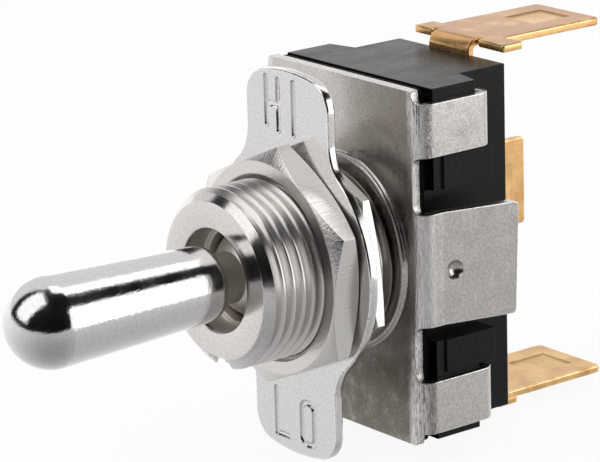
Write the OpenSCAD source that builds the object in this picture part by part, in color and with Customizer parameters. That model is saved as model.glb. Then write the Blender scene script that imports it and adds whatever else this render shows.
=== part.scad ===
// Panel toggle switch, centre off, with a threaded bushing, two hex nuts, an on/off plate and push-on blades.
// Frame: origin on the bushing axis at the bracket's front face, -Y out of the panel along the lever,
// +Z up along the long side of the body, +Y towards the blades.

/* [Bracket] */
// Height of the bracket's front plate
plate_h = 23.9; // [23.5:0.1:28]
// Thickness of the bracket sheet
sheet_t = 0.75; // [0.6:0.05:0.9]
// Inside radius of the side bends
bend_r = 0.3; // [0.2:0.05:0.4]
// Radius of the rim of the drawn boss round the bushing
boss_r = 6.7; // [6.4:0.05:6.9]
// Height of the drawn boss
boss_h = 0.35; // [0.2:0.05:0.5]
// Height of a corner tab
corner_tab_h = 3.55; // [3:0.05:4]
// Distance from the plate's end to a corner tab's far edge
corner_tab_inset = 0.85; // [0.7:0.05:1.5]
// Height of the middle tab
middle_tab_h = 7.6; // [6:0.1:9]
// How far the middle tab reaches behind the plate's face
middle_tab_reach = 7.6; // [6.5:0.1:8.5]
// Angle at which the middle tab leans outwards behind its kink
middle_tab_lean = 7; // [0:0.5:9]
// Angle at which the middle tab droops in its own plane
middle_tab_droop = 2.2; // [0:0.1:3]
// Radius of the notches where the tabs leave the plate
notch_r = 0.6; // [0.4:0.05:0.8]
// Radius of the locking dent in the middle tab
dent_r = 0.65; // [0.4:0.05:0.9]

/* [Bushing] */
// Outside radius of the bushing's thread, for a 15/32 inch thread
thread_r = 5.953; // [5.8:0.01:6.1]
// Distance from one turn of the thread to the next, for 32 turns to the inch
thread_pitch = 0.794; // [0.7:0.002:1.1]
// Depth of the thread
thread_depth = 0.45; // [0.3:0.05:0.55]
// Length of the bushing in front of the bracket
bushing_len = 10.6; // [10:0.1:14]
// Length of the chamfer at the bushing's mouth
mouth_chamfer = 0.6; // [0.3:0.05:0.9]
// Radius of the bushing's front bore
mouth_r = 3.46; // [3.3:0.02:3.7]
// Depth of the front bore down to the lip
mouth_depth = 1.8; // [1.2:0.1:2.4]
// Radius of the lip in front of the ball
lip_r = 3.12; // [3.05:0.01:3.2]
// Width of the keyway along the thread
keyway_w = 1.8; // [1.4:0.1:2.2]
// Depth of the keyway
keyway_d = 0.85; // [0.5:0.05:1]

/* [Lever] */
// Length of the lever in front of the bushing
lever_len = 15.66; // [12:0.1:20]
// Radius of the lever's round tip
tip_r = 3.0; // [2.6:0.05:3.04]
// Radius of the lever where it meets the bushing
waist_r = 2.53; // [2.3:0.01:2.7]
// Radius of the lever's neck
neck_r = 1.7; // [1.4:0.05:1.9]
// Radius of the lever's ball
ball_r = 3.3; // [3.2:0.02:3.36]
// Distance from the bushing's mouth to the lever's pivot
pivot_depth = 4.1; // [3.9:0.05:4.4]
// Radius of the lever's pivot pin
lever_pin_r = 1.0; // [0.8:0.05:1.2]
// Radius of the lever's tail
tail_r = 1.9; // [1.7:0.05:1.95]
// Angle of the lever to each side of its middle position
throw_angle = 13; // [8:0.5:13]

/* [Nuts and legend plate] */
// Width of both nuts across their flats
nut_af = 14.3; // [14:0.1:15.1]
// Thickness of the front nut
front_nut_t = 2.05; // [1.6:0.05:2.4]
// Thickness of the rear nut
rear_nut_t = 1.1; // [0.9:0.05:1.4]
// Gap between the bracket's face and the rear nut
rear_nut_gap = 2.5; // [1:0.1:3]
// Thickness of the legend plate
legend_t = 0.65; // [0.5:0.05:0.9]
// Radius of the legend plate's round middle
legend_r = 8.25; // [7.8:0.05:8.8]
// Width of the legend plate's tongues
tongue_w = 8.6; // [7:0.1:10]
// Distance from the bushing's axis to the end of the upper tongue
upper_tongue_r = 12.85; // [12:0.05:15]
// Distance from the bushing's axis to the end of the lower tongue
lower_tongue_r = 13.35; // [12:0.05:15]

/* [Housing] */
// Width of the housing's wide front part
housing_w = 15.0; // [14.6:0.1:17]
// Width of the housing's narrow rear part
housing_rear_w = 10.74; // [10:0.02:12]
// How much shorter than the bracket's plate the housing is
housing_short = 0.2; // [0.1:0.05:0.6]
// Depth of the housing behind the liner
housing_d = 8.62; // [8.5:0.02:9.6]
// Greatest depth of the wide part at the corner tabs, behind the liner
ledge_d = 4.7; // [4.2:0.05:4.9]
// Depth of the wide part between the tabs, behind the liner
shoulder_d = 5.4; // [5:0.05:6]
// How far the locating pads stand out
pad_h = 0.2; // [0.1:0.05:0.4]
// Depth of the grooves for the middle tabs
groove_d = 1.5; // [0.6:0.05:1.8]
// Thickness of the housing's rear wall
rear_wall_t = 1.52; // [1.2:0.02:1.8]
// Depth of the grooves in the rear wall that seat the blades' feet
seat_d = 0.3; // [0.2:0.05:0.4]
// Thickness of the liner
liner_t = 0.45; // [0.3:0.05:0.6]

/* [Blades] */
// Width of a blade, for a quarter inch connector
blade_w = 6.35; // [6.2:0.05:6.5]
// Thickness of a blade
blade_t = 0.55; // [0.5:0.05:0.85]
// Length of a blade behind its shoulders
blade_len = 8.65; // [7.5:0.05:9.5]
// Width across a blade's shoulders
shoulder_w = 9.1; // [7.6:0.1:9.5]
// How far the shoulders sit to one side of the blade
shoulder_shift = 0.45; // [0:0.05:0.6]
// Length of a blade's shoulders
shoulder_len = 1.7; // [1.2:0.05:2.4]
// Width of the foot under a blade
foot_w = 4.05; // [3.4:0.05:5]
// How far the upper blade's outer face stands above the housing
upper_blade_rise = 1.1; // [0.8:0.05:2]
// How far the lower blade's outer face stands below the housing
lower_blade_rise = 0.65; // [0.45:0.05:2]
// Distance of the middle blade's outer face from the axis
middle_blade_x = 5.15; // [4.6:0.05:5.3]

/* [Contacts] */
// Distance from the housing's end to the middle of a fixed contact
contact_inset = 6.1; // [5.6:0.05:6.6]
// Radius of a contact's silver face
contact_r = 1.3; // [1:0.05:1.5]
// Turn of the rocker for each degree of the lever
rocker_ratio = 0.5; // [0.3:0.05:0.55]
// Radius of the rocker's pivot pin
rocker_pin_r = 0.55; // [0.4:0.05:0.6]
// Radius of the plunger's round nose
nose_r = 1.0; // [0.8:0.05:1.1]

/* [Hidden] */
$fn = 64;
eps = 0.01;
slip = 0.04;

// Places along the switch, from the bracket's face backwards
liner_y = sheet_t;
housing_y = liner_y + liner_t;
rear_y = housing_y + housing_d;
cavity_end_y = rear_y - rear_wall_t;
ledge_y = housing_y + ledge_d;
shoulder_y = housing_y + shoulder_d;
mouth_y = -bushing_len;
lip_y = mouth_y + mouth_depth;
pivot_y = mouth_y + pivot_depth;
nut_gap = 0.05;
rear_nut_y = -rear_nut_gap;
legend_y = rear_nut_y - rear_nut_t - nut_gap;
front_nut_y = legend_y - legend_t - nut_gap;

// Bracket
plate_w = housing_w - 0.2;
plate_corner_r = 0.45;
cut_reach = 4;
corner_tab_z = plate_h / 2 - corner_tab_inset - corner_tab_h;
bend_out_r = bend_r + sheet_t;
tab_in_x = housing_w / 2;
tab_out_x = tab_in_x + sheet_t;
bend_x = tab_in_x - bend_r;
boss_rim_r = 0.32;
hole_r = 5.2;
kink_reach = 0.85;
kink_y = bend_out_r + kink_reach;
tab_corner_r = 0.35;
ledge_slope = 0.5;
curl_reach = 1.35;
curl_end_x = tab_out_x - curl_reach;
curl_seat_y = ledge_y - ledge_slope * (curl_end_x - housing_rear_w / 2) / ((housing_w - housing_rear_w) / 2);
dent_reach = 0.9;
dent_drop = 0.2;
dent_ball_r = dent_r * 1.15;
dent_ball_out = dent_r * 0.55;
dent_wall = 0.25;

// Housing
housing_h = plate_h - housing_short;
cavity_w = 7.2;
end_wall_t = 3.45;
cavity_h = housing_h - 2 * end_wall_t;
cavity_r = 0.6;
rebate_w = 0.45;
rebate_d = 0.5;
groove_over = 2.6;
pad_reach = 1.25;
pad_gap = 0.2;

// Bushing and what holds the lever in it
lip_len = 0.8;
rear_bore_r = 3.95;
rear_bore_y = pivot_y + 1.6;
flange_r = 5.75;
flange_t = 0.45;
flange_y = sheet_t - boss_h;
slot_reach = 4.7;
retainer_y = flange_y + flange_t;
retainer_t = 0.45;
retainer_in_r = 4.15;
retainer_out_r = 5.55;
prong_in = ball_r + 0.35;
keyway_end = 0.4;
thread_turns = floor((bushing_len - mouth_chamfer - boss_h - thread_pitch) / thread_pitch);

// Rocker: the whole movement keeps its place from the cavity's rear wall
rocker_stand = 3.2;
rocker_y = cavity_end_y - rocker_stand;
nose_y = rocker_y - 1.2;
nose_centre_y = nose_y - nose_r;
rocker_angle = throw_angle * rocker_ratio;
saddle_gap = 0.08;
arm = nose_centre_y - pivot_y;
nose_dy = pivot_y + arm * cos(throw_angle) - rocker_y;
nose_dz = arm * sin(throw_angle);
saddle_dy = nose_centre_y - rocker_y - (nose_dy * cos(rocker_angle) - nose_dz * sin(rocker_angle));
saddle_dz = nose_dz * cos(rocker_angle) + nose_dy * sin(rocker_angle);
nose_path_r = (saddle_dy * saddle_dy + saddle_dz * saddle_dz) / (2 * saddle_dy);
saddle_r = nose_path_r + nose_r + saddle_gap;
saddle_centre_y = nose_centre_y - nose_path_r;
rocker_w = 4.3;
rocker_h = 7.8;
horn_reach = 1.15;
bar_y = rocker_y + 0.9;
bar_t = 0.5;
bar_h = 14.4;
bar_r = 0.6;
peg_z = 3.1;
peg_r = 0.45;

// Contacts
contact_z = housing_h / 2 - contact_inset;
moving_z = contact_z + 0.25;
stem_r = 0.6;
stem_head_r = 0.95;
stem_head_h = 0.3;
dome_r = 2.5;
dome_h = 0.5;
dome_centre_y = bar_y + bar_t + dome_h - dome_r;
contact_gap = 0.04;
fixed_face_y = rocker_y + (dome_centre_y - rocker_y) * cos(rocker_angle) + moving_z * sin(rocker_angle)
    + dome_r + contact_gap;
silver_t = 0.23;
silver_over = 0.1;

// Lever, spring and plunger
waist_round = waist_r - neck_r;
waist_y = mouth_y - 0.3;
tip_centre_y = mouth_y - lever_len + tip_r;
tail_end_y = nose_y - 1.7;
plunger_r = 1.15;
bore_r = plunger_r + 0.05;
plunger_rear_y = tail_end_y - 1.8;
spring_room = 3.8;
bore_end_y = plunger_rear_y - spring_room;
spring_wire_r = 0.17;
spring_turns = 7;
spring_gap = 0.03;

// Fulcrum frame and rivets
frame_t = 0.4;
ear_gap = 0.25;
ear_x = rocker_w / 2 + ear_gap;
ear_h = 2.2;
frame_y = cavity_end_y - frame_t;
rivet_r = 1.0;
rivet_head_r = 1.7;
rivet_head_h = 0.5;
rivet_dome_r = 2 * rivet_head_r;
centre_head_h = 0.35;

// Blades
foot_y = rear_y - seat_d;
upper_blade_z = housing_h / 2 + upper_blade_rise;
lower_blade_z = housing_h / 2 + lower_blade_rise;
shoulder_rise = 0.55;
slit_w = 0.4;
blade_corner_r = 0.35;
blade_bend_r = 0.3;
coin_w = 3.0;
coin_len = 3.3;
coin_reach = 6.4;
coin_d = 0.1;

// Lays a flat outline, drawn across and up, as a slab from y0 back to y1
module slab(y0, y1) {
    translate([0, y1, 0]) rotate([90, 0, 0]) linear_extrude(y1 - y0) children();
}

// Turns a profile of radius and place about the switch's axis
module turned() {
    rotate([-90, 0, 0]) rotate_extrude() children();
}

// A round bar along the axis, from y0 back to y1
module bar_y(r, y0, y1) {
    translate([0, y0, 0]) rotate([-90, 0, 0]) cylinder(r = r, h = y1 - y0);
}

// A round bar across the switch, centred on the axis
module bar_x(r, length) {
    rotate([0, 90, 0]) cylinder(r = r, h = length, center = true);
}

module both_sides() {
    children();
    mirror([1, 0, 0]) children();
}

module both_ends() {
    children();
    mirror([0, 0, 1]) children();
}

module round_rect(w, h, r) {
    square([w - 2 * r, h], center = true);
    square([w, h - 2 * r], center = true);
    for (x = [-1, 1], z = [-1, 1]) translate([x * (w / 2 - r), z * (h / 2 - r)]) circle(r);
}

module hexagon(af) {
    circle(r = af / 2 / cos(30), $fn = 6);
}

// A quarter of a bent sheet's section, centred on the bend
module quarter_bend(turn) {
    rotate(turn) intersection() {
        difference() {
            circle(bend_out_r);
            circle(bend_r);
        }
        square(bend_out_r + 1);
    }
}

// The bend where a tab leaves the plate, with a notch at each end
module tab_root(z0, h) {
    difference() {
        translate([0, 0, z0 - notch_r]) linear_extrude(h + 2 * notch_r)
            translate([bend_x, bend_out_r]) quarter_bend(-90);
        for (z = [z0 - notch_r, z0 + h + notch_r]) {
            translate([plate_w / 2 + notch_r, -1, z]) rotate([-90, 0, 0]) cylinder(r = notch_r, h = cut_reach);
            translate([plate_w / 2 + notch_r, -1, z - notch_r]) cube([cut_reach, cut_reach, 2 * notch_r]);
        }
    }
}

module corner_tab() {
    curl_y = curl_seat_y - bend_r;
    tab_root(corner_tab_z, corner_tab_h);
    translate([0, 0, corner_tab_z]) linear_extrude(corner_tab_h) {
        translate([tab_in_x, bend_out_r]) square([sheet_t, curl_y - bend_out_r]);
        translate([bend_x, curl_y]) quarter_bend(0);
        translate([curl_end_x, curl_seat_y]) square([bend_x - curl_end_x, sheet_t]);
    }
}

module middle_tab() {
    half = middle_tab_h / 2;
    lean_len = (middle_tab_reach - kink_y) / cos(middle_tab_lean);
    difference() {
        union() {
            tab_root(-half, middle_tab_h);
            translate([0, 0, -half]) linear_extrude(middle_tab_h)
                translate([tab_in_x, bend_out_r]) square([sheet_t, kink_y - bend_out_r]);
            leaning() rotate([0, 90, 0]) linear_extrude(sheet_t) middle_tab_outline(half, lean_len);
        }
        leaning() dent(dent_ball_r);
    }
    difference() {
        leaning() dent(dent_ball_r + dent_wall);
        leaning() dent(dent_ball_r);
        leaning() translate([0, -dent_ball_r, -middle_tab_h / 2])
            cube([middle_tab_h, middle_tab_h, middle_tab_h]);
    }
}

// Places its children at the kink, on the leaning part's inner face
module leaning() {
    translate([tab_in_x, kink_y, 0]) rotate([0, 0, -middle_tab_lean]) children();
}

// The leaning part of the middle tab, seen from its side, drooping away from the kink
module middle_tab_outline(half, length) {
    square([2 * half, 2 * eps], center = true);
    intersection() {
        rotate(-middle_tab_droop) {
            translate([-half, -half]) square([2 * half, length + half - tab_corner_r]);
            translate([tab_corner_r - half, -half]) square([2 * (half - tab_corner_r), length + half]);
            for (s = [-1, 1]) translate([s * (half - tab_corner_r), length - tab_corner_r])
                circle(tab_corner_r);
        }
        translate([-2 * half, 0]) square([4 * half, 2 * length]);
    }
}

// The ball that punches the locking dent, its middle a little outside the tab
module dent(r) {
    translate([sheet_t + dent_ball_out, dent_reach, -dent_drop]) sphere(r);
}

module bracket() {
    color("silver") {
        difference() {
            union() {
                slab(0, sheet_t) round_rect(plate_w, plate_h, plate_corner_r);
                boss_front();
            }
            boss_back();
            bar_y(hole_r, -2, 3);
            both_sides() {
                tab_cut(-middle_tab_h / 2, middle_tab_h);
                both_ends() tab_cut(corner_tab_z, corner_tab_h);
            }
        }
        both_sides() {
            middle_tab();
            both_ends() corner_tab();
        }
    }
}

// Clears the plate's edge where a bend begins
module tab_cut(z0, h) {
    translate([bend_x, -1, z0 - notch_r]) cube([2, 3, h + 2 * notch_r]);
}

module boss_front() {
    turned() difference() {
        union() {
            translate([hole_r - 1, -boss_h]) square([boss_r - boss_rim_r - hole_r + 1, boss_h + 0.1]);
            translate([boss_r - boss_rim_r, boss_rim_r - boss_h]) circle(boss_rim_r);
            translate([hole_r, boss_rim_r - boss_h]) square([boss_r - hole_r, boss_h + 0.1 - boss_rim_r]);
        }
        translate([0, 0.1]) square([boss_r + 1, 1]);
    }
}

module boss_back() {
    turned() translate([0, sheet_t - boss_h]) square([flange_r + 0.15, boss_h + 1]);
}

module bushing() {
    lip_end_y = lip_y + lip_len;
    color("silver") difference() {
        turned() polygon([
            [0, mouth_y], [thread_r - mouth_chamfer - 0.1, mouth_y], [thread_r, mouth_y + mouth_chamfer],
            [thread_r, -boss_h], [hole_r, -boss_h], [hole_r, flange_y], [flange_r, flange_y],
            [flange_r, retainer_y], [0, retainer_y]
        ]);
        for (k = [1:thread_turns]) thread_groove(mouth_y + mouth_chamfer + (k - 0.5) * thread_pitch);
        bar_y(mouth_r, mouth_y - 1, lip_y);
        bar_y(lip_r, lip_y - eps, lip_end_y + eps);
        bar_y(mouth_r, lip_end_y, rear_bore_y);
        bar_y(rear_bore_r, rear_bore_y - eps, retainer_y + 1);
        translate([-slot_reach, pivot_y, -lever_pin_r])
            cube([2 * slot_reach, retainer_y - pivot_y + 1, 2 * lever_pin_r]);
        translate([0, pivot_y, 0]) bar_x(lever_pin_r, 2 * slot_reach);
        translate([-keyway_w / 2, mouth_y - 1, -thread_r - 1])
            cube([keyway_w, bushing_len + 1 - boss_h - keyway_end, 1 + keyway_d]);
    }
}

// One turn of the thread, as a ring round the bushing
module thread_groove(y) {
    half = 0.42 * thread_pitch;
    root = 0.05 * thread_pitch;
    turned() polygon([
        [thread_r + eps, y - half], [thread_r - thread_depth, y - root],
        [thread_r - thread_depth, y + root], [thread_r + eps, y + half]
    ]);
}

// Keeps the pivot pin at the end of its slots
module pin_retainer() {
    color("darkgray") {
        turned() translate([retainer_in_r, retainer_y]) square([retainer_out_r - retainer_in_r, retainer_t]);
        both_sides() translate([prong_in, pivot_y + lever_pin_r, slip - lever_pin_r])
            cube([slot_reach - slip - prong_in, retainer_y + retainer_t - pivot_y - lever_pin_r,
                2 * (lever_pin_r - slip)]);
    }
}

module rear_nut() {
    color("silver") slab(rear_nut_y - rear_nut_t, rear_nut_y) difference() {
        rotate(-21) hexagon(nut_af);
        circle(thread_r + 0.02);
    }
}

module front_nut() {
    flat = nut_af / 2 - 0.05;
    tip = nut_af / 2 / cos(30) + 0.05;
    drop = min((tip - flat) * tan(26), 0.45 * front_nut_t);
    color("silver") intersection() {
        slab(front_nut_y - front_nut_t, front_nut_y) difference() {
            rotate(23.5) hexagon(nut_af);
            circle(thread_r + 0.02);
        }
        turned() polygon([
            [0, front_nut_y - front_nut_t], [flat, front_nut_y - front_nut_t],
            [tip, front_nut_y - front_nut_t + drop], [tip, front_nut_y - drop],
            [flat, front_nut_y], [0, front_nut_y]
        ]);
    }
}

// One tongue of the legend plate, with round corners and a crowned end
module tongue(reach) {
    corner_r = 2.0;
    half = tongue_w / 2;
    corner_z = sqrt(pow(reach - corner_r, 2) - pow(half - corner_r, 2));
    k = 2 * reach / (reach - corner_r);
    translate([-half, 0]) square([tongue_w, corner_z]);
    intersection() {
        circle(reach);
        polygon([[0, 0], [k * (half - corner_r), k * corner_z], [k * (corner_r - half), k * corner_z]]);
    }
    for (s = [-1, 1]) translate([s * (half - corner_r), corner_z]) circle(corner_r);
}

// The hollow curve between the round middle and a tongue
module tongue_flare() {
    flare_r = 3.0;
    half = tongue_w / 2;
    flare_z = sqrt(pow(legend_r + flare_r, 2) - pow(half + flare_r, 2));
    difference() {
        polygon([[0, 0], [half + flare_r, flare_z], [half, flare_z]]);
        translate([half + flare_r, flare_z]) circle(flare_r);
    }
}

module legend_plate() {
    color("silver") slab(legend_y - legend_t, legend_y) {
        difference() {
            union() {
                circle(legend_r);
                tongue(upper_tongue_r);
                mirror([0, 1]) tongue(lower_tongue_r);
                for (m = [0, 1], n = [0, 1]) mirror([m, 0]) mirror([0, n]) tongue_flare();
            }
            difference() {
                circle(thread_r + 0.12);
                translate([0.1 - keyway_w / 2, -thread_r - 1]) square([keyway_w - 0.2, 1.1 + keyway_d - 0.2]);
            }
        }
    }
}

module liner() {
    color("dimgray") slab(liner_y, housing_y) difference() {
        round_rect(2 * bend_x, plate_h - 0.1, plate_corner_r);
        circle(flange_r + 0.1);
    }
}

// The wide front part, seen from above, with its sloping ledge behind a corner tab
module wide_outline(slope) {
    half = housing_w / 2;
    inner = housing_rear_w / 2;
    front = housing_y + rebate_d;
    both_sides() polygon([
        [0, front], [half, front], [half, ledge_y - slope], [inner, ledge_y], [0, ledge_y]
    ]);
}

module housing() {
    front = housing_y + rebate_d;
    half_h = housing_h / 2;
    groove_h = middle_tab_h + groove_over;
    color("#26282a") difference() {
        union() {
            slab(housing_y, front + 0.1) round_rect(housing_w - 2 * rebate_w, housing_h - 2 * rebate_w, 0.5);
            translate([0, 0, -half_h]) linear_extrude(housing_h) wide_outline(ledge_slope);
            slab(front, shoulder_y) square([housing_w, 2 * (corner_tab_z - pad_gap)], center = true);
            slab(front, rear_y) round_rect(housing_rear_w, housing_h, 0.2);
            both_sides() both_ends() locating_pad(groove_h / 2);
        }
        both_sides() translate([tab_in_x - groove_d, housing_y - 1, -groove_h / 2])
            cube([groove_d + 2, housing_d, groove_h]);
        slab(housing_y - 1, cavity_end_y) round_rect(cavity_w, cavity_h, cavity_r);
        bar_y(retainer_out_r + 0.1, housing_y - 1, retainer_y + retainer_t);
        bar_y(rivet_r, cavity_end_y - 1, rear_y + 1);
        both_ends() {
            translate([0, 0, contact_z]) bar_y(rivet_r, cavity_end_y - 1, rear_y + 1);
            foot_groove(contact_z - foot_w / 2, half_h + 1);
        }
        rotate([0, -90, 0]) foot_groove(-foot_w / 2, middle_blade_x);
    }
}

// The groove in the rear face that seats a blade's foot, from z0 up to z1
module foot_groove(z0, z1) {
    translate([-foot_w / 2, foot_y, z0]) cube([foot_w, seat_d + 1, z1 - z0]);
}

// The raised pad that keeps a corner tab from sliding
module locating_pad(z0) {
    pad_y = housing_y + pad_reach;
    translate([tab_in_x - 0.1, pad_y, z0])
        cube([pad_h + 0.1, shoulder_y - pad_y, corner_tab_z - pad_gap - z0]);
}

module lever() {
    color("silver") difference() {
        union() {
            turned() lever_profile();
            translate([0, pivot_y, 0]) sphere(ball_r);
            bar_y(tail_r, pivot_y, tail_end_y);
        }
        bar_y(bore_r, bore_end_y, tail_end_y + 1);
        translate([0, pivot_y, 0]) bar_x(lever_pin_r + slip, 2 * ball_r + 2);
    }
}

module lever_profile() {
    shoulder_y = waist_y - waist_round;
    polygon([[0, tip_centre_y], [tip_r, tip_centre_y], [waist_r, shoulder_y], [0, shoulder_y]]);
    intersection() {
        translate([0, tip_centre_y]) circle(tip_r);
        translate([0, tip_centre_y - tip_r]) square([tip_r, tip_r]);
    }
    translate([0, shoulder_y]) square([neck_r, waist_round]);
    intersection() {
        translate([neck_r, shoulder_y]) circle(waist_round);
        translate([neck_r, shoulder_y]) square(waist_round);
    }
    translate([0, waist_y]) square([neck_r, pivot_y - waist_y]);
}

module lever_pin() {
    color("gainsboro") translate([0, pivot_y, 0]) bar_x(lever_pin_r, 2 * (slot_reach - slip));
}

module plunger() {
    color("ivory") {
        bar_y(plunger_r, plunger_rear_y, nose_centre_y);
        translate([0, nose_centre_y, 0]) sphere(nose_r);
    }
}

// A point on the spring's wire centre line, after a turns of the coil
function coil(a, r, pitch) = [r * cos(360 * a), r * sin(360 * a), pitch * a];

// Corner i of the wire's section at coil turn a
function wire_corner(a, i, r, pitch, sides) =
    let (u = 360 * i / sides, c = coil(a, r + spring_wire_r * cos(u), pitch))
    [c[0], c[1], c[2] + spring_wire_r * sin(u)];

module plunger_spring() {
    sides = 8;
    steps = 18 * spring_turns;
    r = plunger_r - spring_wire_r - spring_gap;
    pitch = (plunger_rear_y - bore_end_y - 2 * (spring_wire_r + spring_gap)) / spring_turns;
    corners = [for (k = [0:steps], i = [0:sides - 1])
        wire_corner(k * spring_turns / steps, i, r, pitch, sides)];
    skin = [for (k = [0:steps - 1], i = [0:sides - 1])
        [k * sides + i, (k + 1) * sides + i, (k + 1) * sides + (i + 1) % sides, k * sides + (i + 1) % sides]];
    start = [for (i = [0:sides - 1]) i];
    end = [for (i = [sides - 1:-1:0]) steps * sides + i];
    color("gray") translate([0, bore_end_y + spring_wire_r + spring_gap, 0]) rotate([-90, 0, 0])
        polyhedron(corners, concat(skin, [start], [end]), convexity = 10);
}

module rocker() {
    front_y = nose_y - horn_reach;
    color("ivory") difference() {
        union() {
            translate([-rocker_w / 2, front_y, -rocker_h / 2]) cube([rocker_w, bar_y - front_y, rocker_h]);
            both_ends() translate([0, 0, peg_z]) bar_y(peg_r, bar_y - eps, bar_y + bar_t);
        }
        translate([0, saddle_centre_y, 0]) bar_x(saddle_r, rocker_w + 2);
        translate([0, rocker_y, 0]) bar_x(rocker_pin_r + slip, rocker_w + 2);
    }
}

module contact_bar() {
    color("#b87333") slab(bar_y, bar_y + bar_t) difference() {
        round_rect(rocker_w, bar_h, bar_r);
        for (s = [-1, 1]) {
            translate([0, s * peg_z]) circle(peg_r);
            translate([0, s * moving_z]) circle(stem_r);
        }
    }
}

// A contact button riveted through the bar
module moving_contact() {
    translate([0, 0, moving_z]) {
        bar_y(stem_r, bar_y, bar_y + bar_t);
        bar_y(stem_head_r, bar_y - stem_head_h, bar_y);
        intersection() {
            bar_y(contact_r, bar_y + bar_t, bar_y + bar_t + dome_h);
            translate([0, dome_centre_y, 0]) sphere(dome_r);
        }
    }
}

module moving_contact_upper() {
    color("whitesmoke") moving_contact();
}

module moving_contact_lower() {
    color("whitesmoke") mirror([0, 0, 1]) moving_contact();
}

module rocker_pin() {
    color("gainsboro") translate([0, rocker_y, 0]) bar_x(rocker_pin_r, 2 * (ear_x + frame_t));
}

module fulcrum_frame() {
    color("#c9a24a") difference() {
        union() {
            slab(frame_y, cavity_end_y) square([2 * (ear_x + frame_t), ear_h], center = true);
            both_sides() {
                translate([ear_x, rocker_y, -ear_h / 2]) cube([frame_t, frame_y - rocker_y, ear_h]);
                translate([ear_x + frame_t / 2, rocker_y, 0]) bar_x(ear_h / 2, frame_t);
            }
        }
        translate([0, rocker_y, 0]) bar_x(rocker_pin_r, 2 * (ear_x + frame_t) + 1);
        bar_y(rivet_r, frame_y - 1, cavity_end_y + 1);
    }
}

// A silver face on the head of a contact rivet
module fixed_contact() {
    translate([0, 0, contact_z]) bar_y(contact_r + silver_over, fixed_face_y, fixed_face_y + silver_t);
}

module fixed_contact_upper() {
    color("whitesmoke") fixed_contact();
}

module fixed_contact_lower() {
    color("whitesmoke") mirror([0, 0, 1]) fixed_contact();
}

// A rivet from an inner head at y0, through the wall and a blade's foot, to its formed head
module rivet(y0, seat_y) {
    head_y = foot_y + blade_t;
    bar_y(rivet_head_r, y0, seat_y);
    bar_y(rivet_r, seat_y - eps, head_y + eps);
    intersection() {
        bar_y(rivet_head_r, head_y, head_y + rivet_head_h);
        translate([0, head_y + rivet_head_h - rivet_dome_r, 0]) sphere(rivet_dome_r);
    }
}

module contact_rivet_upper() {
    color("#c9a24a") translate([0, 0, contact_z]) rivet(fixed_face_y + silver_t, cavity_end_y);
}

module contact_rivet_lower() {
    color("#c9a24a") translate([0, 0, -contact_z]) rivet(fixed_face_y + silver_t, cavity_end_y);
}

module centre_rivet() {
    color("#c9a24a") rivet(frame_y - centre_head_h, frame_y);
}

// The flat blade with its shoulders and the two slits beside its neck
module blade_outline() {
    start_y = foot_y + shoulder_rise;
    blade_y = start_y + shoulder_len;
    end_y = blade_y + blade_len;
    bend_end = foot_y + blade_t + blade_bend_r;
    half = blade_w / 2 - blade_corner_r;
    difference() {
        translate([shoulder_shift - shoulder_w / 2, start_y]) square([shoulder_w, shoulder_len]);
        translate([-foot_w / 2 - slit_w, start_y - 1])
            square([foot_w + 2 * slit_w, bend_end + slit_w / 2 - start_y + 1]);
    }
    translate([-foot_w / 2, bend_end]) square([foot_w, blade_y - bend_end]);
    translate([-blade_w / 2, blade_y - eps]) square([blade_w, blade_len - blade_corner_r]);
    translate([-half, blade_y - eps]) square([2 * half, blade_len]);
    for (s = [-1, 1]) translate([s * half, end_y - blade_corner_r - eps]) circle(blade_corner_r);
}

// A blade bent up from its foot: outer face at z = 0, the foot going down for foot_drop
module blade(foot_drop) {
    r = blade_bend_r + blade_t;
    coin_y = foot_y + coin_reach;
    difference() {
        union() {
            translate([0, 0, -blade_t]) linear_extrude(blade_t) blade_outline();
            translate([-foot_w / 2, foot_y + r, -r]) rotate([0, 90, 0]) linear_extrude(foot_w)
                rotate(180) intersection() {
                    difference() {
                        circle(r);
                        circle(blade_bend_r);
                    }
                    square(r + 1);
                }
            translate([-foot_w / 2, foot_y, -foot_drop - foot_w / 2])
                cube([foot_w, blade_t, foot_drop + foot_w / 2 - r]);
        }
        translate([-coin_w / 2, coin_y, -coin_d]) cube([coin_w, coin_len, 1]);
        translate([-coin_w / 2, coin_y, coin_d - blade_t - 1]) cube([coin_w, coin_len, 1]);
        translate([0, 0, -foot_drop]) bar_y(rivet_r, foot_y - 1, foot_y + 2);
    }
}

module blade_upper() {
    color("#d9b25f") translate([0, 0, upper_blade_z]) blade(upper_blade_z - contact_z);
}

module blade_lower() {
    color("#d9b25f") rotate([0, 180, 0]) translate([0, 0, lower_blade_z]) blade(lower_blade_z - contact_z);
}

module blade_middle() {
    color("#d9b25f") translate([-middle_blade_x, 0, 0]) rotate([0, -90, 0]) blade(middle_blade_x);
}

bracket();
bushing();
rear_nut();
legend_plate();
front_nut();
liner();
housing();
lever();
lever_pin();
pin_retainer();
plunger();
plunger_spring();
rocker();
contact_bar();
moving_contact_upper();
moving_contact_lower();
rocker_pin();
fulcrum_frame();
fixed_contact_upper();
fixed_contact_lower();
contact_rivet_upper();
contact_rivet_lower();
centre_rivet();
blade_upper();
blade_lower();
blade_middle();
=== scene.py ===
from math import acos, atan2, cos, degrees, pi, radians, sin, tan

import bmesh
import bpy
from bmesh.types import BMEdge, BMVert
from mathutils import Matrix, Vector


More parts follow.
